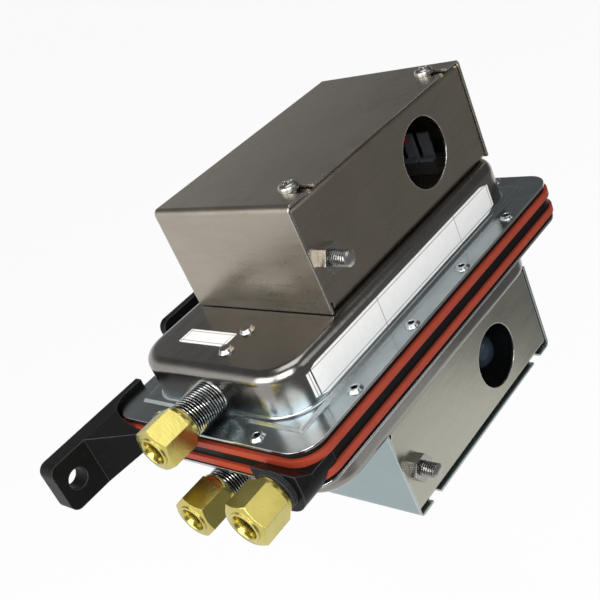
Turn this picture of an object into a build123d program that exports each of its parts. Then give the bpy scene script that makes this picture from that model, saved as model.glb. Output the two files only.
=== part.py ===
from build123d import *
import os

os.makedirs("parts", exist_ok=True)

# Dual differential air pressure switch.
# X runs along the long side, and the three tube fittings point to -X.
# Z is the axis of the diaphragm stack, with its middle plane at Z = 0.
# The pieces are drawn about that axis, and finish() moves them so that Y = 0 is the wall
# behind the bracket. The rest is on the -Y side of it.
# Every piece of the upper switch is built above the middle plane, and the lower one mirrors it.

# Stack of the pressure chambers
flange_length = 142.4
flange_width = 83.4
flange_corner = 8.5
centre_thick = 4.0
diaphragm_thick = 2.2
ring_thick = 1.6
housing_sheet = 0.8
centre_recess = 0.3
ring_recess = 0.6
diaphragm_lip = 0.6
chamber_length = 120.0
chamber_width = 61.0
chamber_corner = 10.0

# Drawn dome of each housing
ridge_length = 126.8
ridge_width = 68.4
step_rise = 0.9
step_taper = 40.0
dome_length = 122.6
dome_width = 64.8
dome_corner = 12.0
dome_top = 21.8
dome_shoulder = 3.4
dome_foot = 1.1

# Tubular rivets round the flange
eyelet_rows_x = (-44.25, -14.75, 14.75, 44.25)
eyelet_row_y = 38.5
eyelet_end_x = 67.7
eyelet_end_y = 21.2
eyelet_shank = 1.6
eyelet_bore = 1.0
eyelet_head = 2.5
eyelet_head_height = 0.9

# Moulded centre body with its wall bracket
bracket_hole_pitch = 184.8
bracket_hole = 6.6
bracket_end_margin = 6.6
bracket_height = 17.0
bracket_thick = 6.6
bracket_corner = 3.0
bracket_ear_inner = 56.0
wall_gap = 0.9
wall_thick = 2.6
back_plate_length = 79.0
back_plate_height = 36.6
back_plate_corner = 3.2
gusset_reach = 84.6
gusset_foot = 26.0

# Compression fittings
tube_radius = 3.2
thread_radius = 5.5
nut_flats = 12.7
nut_length = 12.5
nut_collar = 1.7
nut_wall = 2.6
nut_seat_length = 4.5
nut_seat_radius = 4.5
ferrule_length = 3.9
ferrule_play = 0.4
thread_play = 0.06
bore_play = 0.05
low_nut_front = -86.0
low_port_height = 12.6
low_port_flange = 5.8
low_port_flange_thick = 1.4
low_nut_turn = 37.0
high_nut_front = -91.5
high_port_y = -33.8
high_nut_turn = 53.0
high_boss_front = -77.0
high_boss_radius = 8.2
port_passage = 1.3

# Enclosure box on each dome
box_centre_x = 12.95
box_centre_y = -0.6
box_length = 90.8
box_width = 56.8
box_height = 34.7
box_sheet = 0.8
box_bend = 1.9
panel_inset = 0.6
slide_gap = 0.3
conduit_radius = 11.1
conduit_offset = 15.8
lip_width = 10.0
relief_notch = 3.2

# Screws that hold the cover
cover_screw_pitch = 71.4
cover_screw_inset = 7.0
cover_slot = 4.8
screw_washer = 4.7
screw_washer_thick = 0.7
screw_flats = 6.4
screw_head_height = 3.0
screw_shank = 1.9
screw_length = 7.0
screw_slot_width = 1.0

# Ground screw in the conduit side
ground_x = -25.4
ground_height_upper = 36.3
ground_height_lower = 41.1
ground_shank = 2.4
ground_reach = 8.6
ground_nut_flats = 8.0
ground_nut_thick = 2.8

# Rivets
box_rivet_places = ((-24.0, -18.0), (-24.0, 18.0), (50.0, -18.0), (50.0, 18.0))
dome_rivet_places = ((-42.3, -2.9), (-51.9, -2.9))
rivet_shank = 1.5
rivet_head = 2.5
rivet_head_height = 1.1

# Diaphragm, its plate and the calibration spring
membrane_thick = 0.7
bead_width = 4.0
bead_height = 1.3
plate_length = 96.0
plate_width = 38.0
plate_corner = 8.0
plate_sheet = 1.0
plate_rim = 1.4
running_gap = 0.3
spring_radius = 5.6
spring_wire = 0.55
spring_turns = 5.0
spring_spigot = 4.2
spring_spigot_height = 2.0
adjuster_radius = 7.0
adjuster_bottom = 18.2
adjuster_top = 31.0
adjuster_slot = 1.8
adjuster_slot_depth = 2.2
bushing_radius = 9.5
bushing_flange = 11.5
bushing_flange_thick = 2.0
bushing_lock = 1.2

# Snap switch and its drive pin
pin_x = 22.0
pin_radius = 1.5
pin_top = 24.9
guide_radius = 3.0
guide_flange = 4.5
guide_flange_thick = 0.9
switch_length = 27.8
switch_width = 10.3
switch_height = 15.9
switch_bottom = 26.8
switch_pin_setback = 8.4
plunger_radius = 1.3
plunger_length = 4.4
plunger_travel = 1.0
switch_hole = 1.55
switch_hole_inset = 2.9
switch_plate = 1.2
switch_plate_foot = 14.0
terminal_width = 6.3
terminal_sheet = 0.8
terminal_height = 7.5
terminal_spacing = 9.0

# Levels and places that follow from the sizes above
centre_half = centre_thick / 2
ring_bottom = centre_half + diaphragm_thick
flange_bottom = ring_bottom + ring_thick
flange_top = flange_bottom + housing_sheet
step_top = flange_top + step_rise
dome_inner_top = dome_top - housing_sheet
box_floor = dome_top + box_sheet
box_top = dome_top + box_height
box_left = box_centre_x - box_length / 2
box_right = box_centre_x + box_length / 2
box_front = box_centre_y - box_width / 2
box_back = box_centre_y + box_width / 2
panel_front = box_front + panel_inset
panel_back = box_back - panel_inset
panel_length = box_length - 2 * (box_sheet + slide_gap)
panel_top = box_top - box_sheet - slide_gap
conduit_x = box_centre_x + conduit_offset
conduit_z = (dome_top + box_top) / 2
cover_screw_y = box_front + cover_screw_inset
cover_screw_xs = (box_centre_x - cover_screw_pitch / 2, box_centre_x + cover_screw_pitch / 2)
bracket_end = bracket_hole_pitch / 2 + bracket_end_margin
wall_inner = flange_width / 2 + wall_gap
bracket_back = wall_inner + wall_thick
bracket_face = bracket_back - bracket_thick
membrane_bottom = centre_half
plate_bottom = membrane_bottom + membrane_thick + running_gap
plate_top = plate_bottom + plate_sheet
switch_left = pin_x - switch_pin_setback
switch_middle = switch_left + switch_length / 2
switch_top = switch_bottom + switch_height
plunger_bottom = pin_top + running_gap
eyelet_places = [(x, sign * eyelet_row_y) for x in eyelet_rows_x for sign in (-1, 1)]
eyelet_places += [(sx * eyelet_end_x, sy * eyelet_end_y) for sx in (-1, 1) for sy in (-1, 1)]


def finish(piece, name):
    """Move a finished piece into the frame of the wall, label it and write it to its file."""
    placed = piece.moved(Location((0, -bracket_back, 0)))
    placed.label = name
    export_step(placed, f"parts/{name}.step")


def finish_pair(piece, name):
    """Write a piece of the upper switch, and its mirror image for the lower one."""
    finish(piece, f"upper_{name}")
    with BuildPart() as lower:
        add(piece)
        mirror(about=Plane.XY, mode=Mode.REPLACE)
    finish(lower.part, f"lower_{name}")


def stack_outline(growth):
    """The flange outline, larger or smaller all round."""
    RectangleRounded(flange_length + 2 * growth, flange_width + 2 * growth, flange_corner + growth)


# Housing: one drawn sheet with a flat flange, a raised step and a deep dome
with BuildPart() as dome_outside:
    with BuildSketch(Plane.XY.offset(flange_top)):
        Rectangle(ridge_length, ridge_width)
    extrude(amount=step_rise, taper=step_taper)
    with BuildSketch(Plane.XY.offset(flange_top)):
        RectangleRounded(dome_length, dome_width, dome_corner)
    extrude(amount=dome_top - flange_top)
    fillet(dome_outside.faces().sort_by(Axis.Z)[-1].outer_wire().edges(), dome_shoulder)
    foot = dome_outside.edges().filter_by_position(Axis.Z, step_top - 0.01, step_top + 0.01)
    fillet(foot.filter_by(lambda edge: abs(edge.center().X) < dome_length / 2 + 0.05
                          and abs(edge.center().Y) < dome_width / 2 + 0.05), dome_foot)

with BuildPart() as dome_inside:
    with BuildSketch(Plane.XY.offset(flange_bottom)):
        Rectangle(ridge_length - housing_sheet, ridge_width - housing_sheet)
    extrude(amount=step_rise, taper=step_taper)
    with BuildSketch(Plane.XY.offset(flange_bottom)):
        RectangleRounded(dome_length - 2 * housing_sheet, dome_width - 2 * housing_sheet,
                         dome_corner - housing_sheet)
    extrude(amount=dome_inner_top - flange_bottom)
    fillet(dome_inside.faces().sort_by(Axis.Z)[-1].outer_wire().edges(), dome_shoulder - housing_sheet)

with BuildPart() as housing:
    with BuildSketch(Plane.XY.offset(flange_bottom)):
        stack_outline(0)
    extrude(amount=housing_sheet)
    add(dome_outside.part)
    add(dome_inside.part, mode=Mode.SUBTRACT)
    # Rivet holes, the fitting's hole in the end wall, and the holes in the dome's top
    with Locations(*[(x, y, flange_top) for x, y in eyelet_places]):
        Hole(eyelet_shank, depth=3 * housing_sheet)
    with BuildSketch(Plane.YZ.offset(-ridge_length / 2)):
        with Locations((0, low_port_height)):
            Circle(thread_radius)
    extrude(amount=4, mode=Mode.SUBTRACT)
    with Locations((0, 0, dome_top)):
        Hole(bushing_radius, depth=2 * housing_sheet)
    with Locations((pin_x, 0, dome_top)):
        Hole(guide_radius, depth=2 * housing_sheet)
    with Locations(*[(x, y, dome_top) for x, y in box_rivet_places + dome_rivet_places]):
        Hole(rivet_shank, depth=2 * housing_sheet)
finish_pair(housing.part, "housing")

# Diaphragm: moulded silicone sheet, thick where the flanges clamp it, with one raised bead
with BuildPart() as diaphragm:
    with BuildSketch(Plane.XY.offset(centre_half)):
        stack_outline(diaphragm_lip)
    extrude(amount=diaphragm_thick)
    with BuildSketch(Plane.XY.offset(membrane_bottom + membrane_thick)):
        RectangleRounded(chamber_length, chamber_width, chamber_corner)
    extrude(amount=diaphragm_thick, mode=Mode.SUBTRACT)
    with BuildSketch(Plane.XY.offset(membrane_bottom + membrane_thick)):
        RectangleRounded(chamber_length - bead_width, chamber_width - bead_width,
                         chamber_corner - bead_width / 2)
        RectangleRounded(chamber_length - 3 * bead_width, chamber_width - 3 * bead_width,
                         chamber_corner - 3 * bead_width / 2, mode=Mode.SUBTRACT)
    extrude(amount=bead_height, taper=20)
    with Locations(*[(x, y, ring_bottom) for x, y in eyelet_places]):
        Hole(eyelet_shank, depth=2 * diaphragm_thick)
finish_pair(diaphragm.part, "diaphragm")

# Rubber ring between the diaphragm's rim and the steel flange
with BuildPart() as sealing_ring:
    with BuildSketch(Plane.XY.offset(ring_bottom)):
        stack_outline(-ring_recess)
        RectangleRounded(chamber_length, chamber_width, chamber_corner, mode=Mode.SUBTRACT)
        with Locations(*eyelet_places):
            Circle(eyelet_shank, mode=Mode.SUBTRACT)
    extrude(amount=ring_thick)
finish_pair(sealing_ring.part, "sealing_ring")

# Diaphragm plate: pressed aluminium with a turned-up rim, a spring spigot and the drive pin
with BuildPart() as diaphragm_plate:
    with BuildSketch(Plane.XY.offset(plate_bottom)):
        RectangleRounded(plate_length, plate_width, plate_corner)
    extrude(amount=plate_sheet + plate_rim)
    with BuildSketch(Plane.XY.offset(plate_top)):
        RectangleRounded(plate_length - 2 * plate_sheet, plate_width - 2 * plate_sheet,
                         plate_corner - plate_sheet)
    extrude(amount=plate_rim, mode=Mode.SUBTRACT)
    with BuildSketch(Plane.XY.offset(plate_top)):
        Circle(spring_spigot)
    extrude(amount=spring_spigot_height, taper=6)
    with BuildSketch(Plane.XY.offset(plate_top)):
        with Locations((pin_x, 0)):
            Circle(2 * pin_radius)
    extrude(amount=plate_rim)
    with BuildSketch(Plane.XY.offset(plate_top)):
        with Locations((pin_x, 0)):
            Circle(pin_radius)
    extrude(amount=pin_top - plate_top)
finish_pair(diaphragm_plate.part, "diaphragm_plate")

# Calibration spring, held between the plate and the adjusting screw
spring_low = plate_top + spring_wire
spring_high = adjuster_bottom - running_gap - spring_wire
with BuildPart() as calibration_spring:
    with BuildLine():
        coil = Helix(pitch=(spring_high - spring_low) / spring_turns, height=spring_high - spring_low,
                     radius=spring_radius, center=(0, 0, spring_low))
    with BuildSketch(Plane(origin=coil @ 0, z_dir=coil % 0)):
        RegularPolygon(spring_wire, 6)
    sweep(path=coil, is_frenet=True)
finish_pair(calibration_spring.part, "calibration_spring")

# Adjusting screw above the spring, turned from the box with a screwdriver
with BuildPart() as spring_adjuster:
    with BuildSketch(Plane.XY.offset(adjuster_bottom)):
        Circle(adjuster_radius)
    extrude(amount=adjuster_top - adjuster_bottom)
    chamfer(spring_adjuster.faces().sort_by(Axis.Z)[-1].edges(), 0.6)
    with BuildSketch(Plane.XY.offset(adjuster_top - adjuster_slot_depth)):
        Rectangle(3 * adjuster_radius, adjuster_slot)
    extrude(amount=2 * adjuster_slot_depth, mode=Mode.SUBTRACT)
finish_pair(spring_adjuster.part, "spring_adjuster")

# Brass bushing, clamped through the dome and the floor of the box
with BuildPart() as adjuster_bushing:
    with BuildSketch(Plane.XY.offset(box_floor)):
        Circle(bushing_flange)
    extrude(amount=bushing_flange_thick)
    chamfer(adjuster_bushing.faces().sort_by(Axis.Z)[-1].edges(), 0.5)
    with BuildSketch(Plane.XY.offset(dome_inner_top - bushing_lock)):
        Circle(bushing_radius)
    extrude(amount=box_floor - dome_inner_top + bushing_lock)
    with BuildSketch(Plane.XY.offset(dome_inner_top - bushing_lock)):
        Circle(bushing_flange - 1)
    extrude(amount=bushing_lock)
    with Locations((0, 0, box_floor + bushing_flange_thick)):
        Hole(adjuster_radius + bore_play)
finish_pair(adjuster_bushing.part, "adjuster_bushing")

# Nylon bushing that guides the drive pin into the box
with BuildPart() as pin_guide:
    with BuildSketch(Plane.XY.offset(box_floor)):
        with Locations((pin_x, 0)):
            Circle(guide_flange)
    extrude(amount=guide_flange_thick)
    with BuildSketch(Plane.XY.offset(dome_inner_top - guide_flange_thick)):
        with Locations((pin_x, 0)):
            Circle(guide_radius)
    extrude(amount=box_floor - dome_inner_top + guide_flange_thick)
    with Locations((pin_x, 0, box_floor + guide_flange_thick)):
        Hole(pin_radius + bore_play)
finish_pair(pin_guide.part, "pin_guide")

# Snap switch, standing over the drive pin
switch_hole_places = ((switch_left + switch_hole_inset, switch_top - switch_hole_inset),
                      (switch_left + switch_length - switch_hole_inset, switch_bottom + switch_hole_inset))
with BuildPart() as switch_body:
    with BuildSketch(Plane.XY.offset(switch_bottom)):
        with Locations((switch_middle, 0)):
            Rectangle(switch_length, switch_width)
    extrude(amount=switch_height)
    fillet(switch_body.edges().filter_by(Axis.Y), 1.2)
    with BuildSketch(Plane.XZ.offset(switch_width)):
        with Locations(*switch_hole_places):
            Circle(switch_hole)
    extrude(amount=-2 * switch_width, mode=Mode.SUBTRACT)
    with BuildSketch(Plane.XY.offset(switch_bottom)):
        with Locations((pin_x, 0)):
            Circle(plunger_radius + bore_play)
    extrude(amount=plunger_length + plunger_travel, mode=Mode.SUBTRACT)
finish_pair(switch_body.part, "switch_body")

with BuildPart() as switch_plunger:
    with BuildSketch(Plane.XY.offset(plunger_bottom)):
        with Locations((pin_x, 0)):
            Circle(plunger_radius)
    extrude(amount=plunger_length)
    chamfer(switch_plunger.faces().sort_by(Axis.Z)[0].edges(), 0.4)
finish_pair(switch_plunger.part, "switch_plunger")

# Three terminals on the far side of the switch, with a folded tab each
terminal_xs = [switch_middle + step * terminal_spacing for step in (-1, 0, 1)]
with BuildPart() as switch_terminals:
    with BuildSketch(Plane.XY.offset(switch_top)):
        with Locations(*[(x, 0) for x in terminal_xs]):
            Rectangle(terminal_width, terminal_sheet)
    extrude(amount=terminal_height)
    chamfer(switch_terminals.edges().filter_by(Axis.Y).group_by(Axis.Z)[-1], 1.2)
    with BuildSketch(Plane.XZ.offset(terminal_sheet)):
        with Locations(*[(x, switch_top + terminal_height - 3) for x in terminal_xs]):
            Circle(0.9)
    extrude(amount=-2 * terminal_sheet, mode=Mode.SUBTRACT)
finish_pair(switch_terminals.part, "switch_terminals")

# Bent bracket that carries the switch on the floor of the box
plate_front = switch_width / 2
with BuildPart() as switch_bracket:
    with BuildSketch(Plane.XY.offset(box_floor)):
        with Locations((switch_middle, plate_front)):
            Rectangle(switch_length, switch_plate_foot, align=(Align.CENTER, Align.MIN))
    extrude(amount=switch_plate)
    with BuildSketch(Plane.XY.offset(box_floor)):
        with Locations((switch_middle, plate_front)):
            Rectangle(switch_length, switch_plate, align=(Align.CENTER, Align.MIN))
    extrude(amount=switch_top - box_floor)
    fillet(switch_bracket.edges().filter_by(Axis.Y).group_by(Axis.Z)[-1], 2)
    with BuildSketch(Plane.XZ.offset(-plate_front)):
        with Locations(*switch_hole_places):
            Circle(switch_hole)
    extrude(amount=-2 * switch_plate, mode=Mode.SUBTRACT)
    with Locations((switch_middle - 8, plate_front + 9, box_floor + switch_plate),
                   (switch_middle + 8, plate_front + 9, box_floor + switch_plate)):
        Hole(rivet_shank, depth=2 * switch_plate)
finish_pair(switch_bracket.part, "switch_bracket")

# Two screws through the switch into its bracket
with BuildPart() as switch_screws:
    with BuildSketch(Plane.XZ.offset(plate_front)):
        with Locations(*switch_hole_places):
            Circle(2.7)
    extrude(amount=1.9)
    fillet(switch_screws.faces().filter_by(Axis.Y).group_by(Axis.Y)[0].edges(), 0.8)
    with BuildSketch(Plane.XZ.offset(plate_front)):
        with Locations(*switch_hole_places):
            Circle(switch_hole)
    extrude(amount=-(switch_width + switch_plate + 1.5))
    with BuildSketch(Plane.XZ.offset(plate_front + 1.9)):
        with Locations(*switch_hole_places):
            Rectangle(8, 0.8)
    extrude(amount=-0.9, mode=Mode.SUBTRACT)
finish_pair(switch_screws.part, "switch_screws")

# Box base: floor, conduit side and back side from one folded sheet, each side with a top lip
with BuildPart() as box_base_folded:
    with BuildSketch(Plane.YZ.offset(box_centre_x - panel_length / 2)):
        with Locations(((panel_front + panel_back) / 2, dome_top)):
            Rectangle(panel_back - panel_front, panel_top - dome_top, align=(Align.CENTER, Align.MIN))
    extrude(amount=panel_length)
    fillet(box_base_folded.edges().filter_by(Axis.X), box_bend)
    with BuildSketch(Plane.YZ.offset(box_centre_x - panel_length / 2)):
        with Locations(((panel_front + panel_back) / 2, box_floor)):
            RectangleRounded(panel_back - panel_front - 2 * box_sheet,
                             panel_top - dome_top - 2 * box_sheet, box_bend - box_sheet,
                             align=(Align.CENTER, Align.MIN))
    extrude(amount=panel_length, mode=Mode.SUBTRACT)
    # The open top between the two lips
    with BuildSketch(Plane.XY.offset(panel_top - 2 * box_sheet)):
        with Locations((box_centre_x, (panel_front + panel_back) / 2)):
            Rectangle(panel_length, panel_back - panel_front - 2 * lip_width)
    extrude(amount=4 * box_sheet, mode=Mode.SUBTRACT)
    # Relief notches at the lower bends, and corners cut back on the lips
    with BuildSketch(Plane.YZ.offset(box_centre_x - panel_length / 2)):
        with Locations((panel_front, dome_top), (panel_back, dome_top),
                       (panel_front + lip_width, panel_top), (panel_back - lip_width, panel_top)):
            Circle(relief_notch)
    extrude(amount=box_sheet * 1.5, mode=Mode.SUBTRACT)
    # Conduit hole, screw holes in the lip, and holes in the floor
    with BuildSketch(Plane.XZ.offset(-panel_front - 2)):
        with Locations((conduit_x, conduit_z)):
            Circle(conduit_radius)
    extrude(amount=4, mode=Mode.SUBTRACT)
    with Locations(*[(x, cover_screw_y, panel_top) for x in cover_screw_xs]):
        Hole(screw_shank, depth=2 * box_sheet)
    with Locations((0, 0, box_floor)):
        Hole(bushing_radius, depth=2 * box_sheet)
    with Locations((pin_x, 0, box_floor)):
        Hole(guide_radius, depth=2 * box_sheet)
    with Locations(*[(x, y, box_floor) for x, y in box_rivet_places]):
        Hole(rivet_shank, depth=2 * box_sheet)


def ground_hole_at(height):
    """The round cutter for the ground screw's hole in the conduit side."""
    with BuildPart() as cutter:
        with BuildSketch(Plane.XZ.offset(-panel_front - 2)):
            with Locations((ground_x, height)):
                Circle(ground_shank)
        extrude(amount=4)
    return cutter.part


with BuildPart() as upper_enclosure_base:
    add(box_base_folded.part)
    add(ground_hole_at(ground_height_upper), mode=Mode.SUBTRACT)
finish(upper_enclosure_base.part, "upper_enclosure_base")

with BuildPart() as lower_enclosure_base:
    add(box_base_folded.part)
    add(ground_hole_at(ground_height_lower), mode=Mode.SUBTRACT)
    mirror(about=Plane.XY, mode=Mode.REPLACE)
finish(lower_enclosure_base.part, "lower_enclosure_base")

# Box cover: two ends and the top from one folded sheet, open on both long sides
cover_bottom = dome_top + slide_gap
with BuildPart() as enclosure_cover:
    with BuildSketch(Plane.XZ.offset(-box_back)):
        with Locations((box_centre_x, cover_bottom)):
            Rectangle(box_length, box_top - cover_bottom, align=(Align.CENTER, Align.MIN))
    extrude(amount=box_width)
    fillet(enclosure_cover.edges().filter_by(Axis.Y).group_by(Axis.Z)[-1], box_bend)
    with BuildSketch(Plane.XZ.offset(-box_back)):
        with Locations((box_centre_x, cover_bottom)):
            Rectangle(box_length - 2 * box_sheet, box_top - box_sheet - cover_bottom,
                      align=(Align.CENTER, Align.MIN))
    extrude(amount=box_width, mode=Mode.SUBTRACT)
    # Slots that are open at the conduit side, so the cover slides off under loose screws
    with BuildSketch(Plane.XY.offset(box_top - 2 * box_sheet)):
        with Locations(*[(x, cover_screw_y) for x in cover_screw_xs]):
            Circle(cover_slot / 2)
            Rectangle(cover_slot, 2 * cover_screw_inset, align=(Align.CENTER, Align.MAX))
    extrude(amount=3 * box_sheet, mode=Mode.SUBTRACT)
finish_pair(enclosure_cover.part, "enclosure_cover")

# Slotted hexagon washer-head screws of the cover
head_bottom = box_top + slide_gap
with BuildPart() as cover_screws:
    with BuildSketch(Plane.XY.offset(head_bottom)):
        with Locations(*[(x, cover_screw_y) for x in cover_screw_xs]):
            Circle(screw_washer)
    extrude(amount=screw_washer_thick)
    with BuildSketch(Plane.XY.offset(head_bottom + screw_washer_thick)):
        with Locations(*[(x, cover_screw_y) for x in cover_screw_xs]):
            RegularPolygon(screw_flats / 2, 6, major_radius=False, rotation=15)
    extrude(amount=screw_head_height)
    chamfer(cover_screws.faces().group_by(Axis.Z)[-1].edges(), 0.4)
    with BuildSketch(Plane.XY.offset(head_bottom + screw_washer_thick + screw_head_height - 1.1)):
        with Locations(*[Location((x, cover_screw_y), 35) for x in cover_screw_xs]):
            Rectangle(2 * screw_flats, screw_slot_width)
    extrude(amount=2, mode=Mode.SUBTRACT)
    with BuildSketch(Plane.XY.offset(head_bottom)):
        with Locations(*[(x, cover_screw_y) for x in cover_screw_xs]):
            Circle(screw_shank)
    extrude(amount=-screw_length)
finish_pair(cover_screws.part, "cover_screws")


# Ground screw from inside the conduit side, with its nut outside
def ground_screw_at(height):
    """Pan head inside the box, threaded end outside."""
    with BuildPart() as screw:
        with BuildSketch(Plane.XZ.offset(-panel_front - box_sheet)):
            with Locations((ground_x, height)):
                Circle(2 * ground_shank)
        extrude(amount=-2.2)
        fillet(screw.faces().sort_by(Axis.Y)[-1].edges(), 1.2)
        with BuildSketch(Plane.XZ.offset(-panel_front - box_sheet)):
            with Locations((ground_x, height)):
                Circle(ground_shank)
        extrude(amount=ground_reach + box_sheet)
        chamfer(screw.faces().sort_by(Axis.Y)[0].edges(), 0.4)
    return screw.part


def ground_nut_at(height):
    """Hexagon nut, tight against the conduit side."""
    with BuildPart() as nut:
        with BuildSketch(Plane.XZ.offset(-panel_front)):
            with Locations((ground_x, height)):
                RegularPolygon(ground_nut_flats / 2, 6, major_radius=False)
                Circle(ground_shank, mode=Mode.SUBTRACT)
        extrude(amount=ground_nut_thick)
    return nut.part


with BuildPart() as upper_ground_screw:
    add(ground_screw_at(ground_height_upper))
finish(upper_ground_screw.part, "upper_ground_screw")

with BuildPart() as lower_ground_screw:
    add(ground_screw_at(ground_height_lower))
    mirror(about=Plane.XY, mode=Mode.REPLACE)
finish(lower_ground_screw.part, "lower_ground_screw")

with BuildPart() as upper_ground_nut:
    add(ground_nut_at(ground_height_upper))
finish(upper_ground_nut.part, "upper_ground_nut")

with BuildPart() as lower_ground_nut:
    add(ground_nut_at(ground_height_lower))
    mirror(about=Plane.XY, mode=Mode.REPLACE)
finish(lower_ground_nut.part, "lower_ground_nut")

# Rivets of the box floor, and the two that close the dome's top
with BuildPart() as box_rivets:
    with Locations(*[(x, y, box_floor) for x, y in box_rivet_places]):
        Cone(rivet_head, rivet_head * 0.6, rivet_head_height, align=(Align.CENTER, Align.CENTER, Align.MIN))
        Cylinder(rivet_shank, box_floor - dome_inner_top, align=(Align.CENTER, Align.CENTER, Align.MAX))
    with Locations(*[(x, y, dome_inner_top) for x, y in box_rivet_places]):
        Cylinder(rivet_head, rivet_head_height, align=(Align.CENTER, Align.CENTER, Align.MAX))
finish_pair(box_rivets.part, "box_rivets")

with BuildPart() as dome_rivets:
    with Locations(*[(x, y, dome_top) for x, y in dome_rivet_places]):
        Cone(rivet_head, rivet_head * 0.7, rivet_head_height, align=(Align.CENTER, Align.CENTER, Align.MIN))
        Cylinder(rivet_shank, dome_top - dome_inner_top, align=(Align.CENTER, Align.CENTER, Align.MAX))
    with Locations(*[(x, y, dome_inner_top) for x, y in dome_rivet_places]):
        Cylinder(rivet_head, rivet_head_height, align=(Align.CENTER, Align.CENTER, Align.MAX))
finish_pair(dome_rivets.part, "dome_rivets")

# Tubular rivets that clamp the whole stack
with BuildPart() as flange_eyelets:
    with Locations(*[(x, y, 0) for x, y in eyelet_places]):
        Cylinder(eyelet_shank, 2 * flange_top)
    with Locations(*[(x, y, flange_top) for x, y in eyelet_places]):
        Cone(eyelet_head, eyelet_head * 0.7, eyelet_head_height,
             align=(Align.CENTER, Align.CENTER, Align.MIN))
    with Locations(*[(x, y, -flange_top) for x, y in eyelet_places]):
        Cone(eyelet_head * 0.7, eyelet_head, eyelet_head_height,
             align=(Align.CENTER, Align.CENTER, Align.MAX))
    with Locations(*[(x, y, flange_top + eyelet_head_height) for x, y in eyelet_places]):
        Hole(eyelet_bore)
finish(flange_eyelets.part, "flange_eyelets")

# Centre body: spacer between the diaphragms, high pressure port and wall bracket in one moulding
with BuildPart() as centre_body:
    with BuildSketch(Plane.XY.offset(-centre_half)):
        stack_outline(-centre_recess)
    extrude(amount=centre_thick)
    # The bracket behind the stack: two ears, and a taller plate between them
    with BuildSketch(Plane.XZ.offset(-bracket_back)):
        Rectangle(2 * bracket_end, bracket_height)
    extrude(amount=bracket_thick)
    fillet(centre_body.edges().filter_by(Axis.Y).group_by(Axis.X)[0], bracket_corner)
    fillet(centre_body.edges().filter_by(Axis.Y).group_by(Axis.X)[-1], bracket_corner)
    with BuildSketch(Plane.XZ.offset(-bracket_back)):
        Rectangle(2 * bracket_ear_inner, 2 * bracket_height)
    extrude(amount=bracket_thick, mode=Mode.SUBTRACT)
    # Gussets from the ears to the ends of the spacer
    for side in (-1, 1):
        with BuildSketch(Plane.XZ.offset(-bracket_face)):
            with Locations((side * (gusset_reach + bracket_ear_inner) / 2, 0)):
                Rectangle(gusset_reach - bracket_ear_inner, bracket_height)
        with BuildSketch(Plane.XZ.offset(-gusset_foot)):
            with Locations((side * (flange_length / 2 + bracket_ear_inner) / 2, 0)):
                Rectangle(flange_length / 2 - bracket_ear_inner, centre_thick)
        loft()
    # The pocket that the clamped stack sits in
    for level in (centre_half, -centre_half):
        with BuildSketch(Plane.XY.offset(level)):
            stack_outline(wall_gap)
        extrude(amount=bracket_height if level > 0 else -bracket_height, mode=Mode.SUBTRACT)
    # The plate at the back, joined to the spacer along its edge
    with BuildSketch(Plane.XY.offset(-centre_half)):
        with Locations((0, bracket_back)):
            Rectangle(2 * bracket_ear_inner + 2 * bracket_corner, wall_thick + wall_gap + 2,
                      align=(Align.CENTER, Align.MAX))
    extrude(amount=centre_thick)
    with BuildSketch(Plane.XZ.offset(-bracket_back)):
        RectangleRounded(back_plate_length, back_plate_height, back_plate_corner)
    extrude(amount=wall_thick)
    with BuildSketch(Plane.XZ.offset(-bracket_back)):
        with Locations((-bracket_hole_pitch / 2, 0), (bracket_hole_pitch / 2, 0)):
            Circle(bracket_hole / 2)
    extrude(amount=bracket_thick, mode=Mode.SUBTRACT)
    # High pressure port: a boss that is round below and slopes down to the spacer above
    with BuildSketch(Plane.YZ.offset(high_boss_front)):
        with Locations((high_port_y, 0)):
            Circle(high_boss_radius)
            Rectangle(2 * high_boss_radius, thread_radius + 0.6, align=(Align.CENTER, Align.MIN))
    extrude(amount=-flange_length / 2 + flange_corner - high_boss_front)
    with BuildSketch(Plane.XZ.offset(-high_port_y - 2 * high_boss_radius)):
        with BuildLine():
            Polyline((high_boss_front, thread_radius), (-flange_length / 2 - diaphragm_lip, centre_half),
                     (0, centre_half), (0, 4 * centre_thick), (high_boss_front, 4 * centre_thick),
                     close=True)
        make_face()
    extrude(amount=4 * high_boss_radius, mode=Mode.SUBTRACT)
    with BuildSketch(Plane.XY.offset(-centre_half)):
        stack_outline(diaphragm_lip + running_gap)
    extrude(amount=-bracket_height, mode=Mode.SUBTRACT)
    with BuildSketch(Plane.YZ.offset(high_boss_front)):
        with Locations((high_port_y, 0)):
            Circle(thread_radius)
    extrude(amount=high_nut_front + nut_wall + nut_seat_length - high_boss_front)
    # Tube socket, passage into the chamber between the diaphragms, and rivet holes
    with BuildSketch(Plane.YZ.offset(high_nut_front)):
        with Locations((high_port_y, 0)):
            Circle(tube_radius)
    extrude(amount=nut_wall + nut_seat_length + 6, mode=Mode.SUBTRACT)
    with BuildSketch(Plane.YZ.offset(high_nut_front)):
        with Locations((high_port_y, 0)):
            Circle(port_passage)
    extrude(amount=-high_nut_front - chamber_length / 2 + chamber_corner, mode=Mode.SUBTRACT)
    with BuildSketch(Plane.XZ.offset(-high_port_y)):
        with Locations((-chamber_length / 2 + chamber_corner - port_passage, 0)):
            Circle(port_passage)
    extrude(amount=high_port_y, mode=Mode.SUBTRACT)
    with BuildSketch(Plane.XY.offset(-centre_half)):
        RectangleRounded(chamber_length, chamber_width, chamber_corner)
    extrude(amount=centre_thick, mode=Mode.SUBTRACT)
    with Locations(*[(x, y, centre_half) for x, y in eyelet_places]):
        Hole(eyelet_shank)
finish(centre_body.part, "centre_body")

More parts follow.
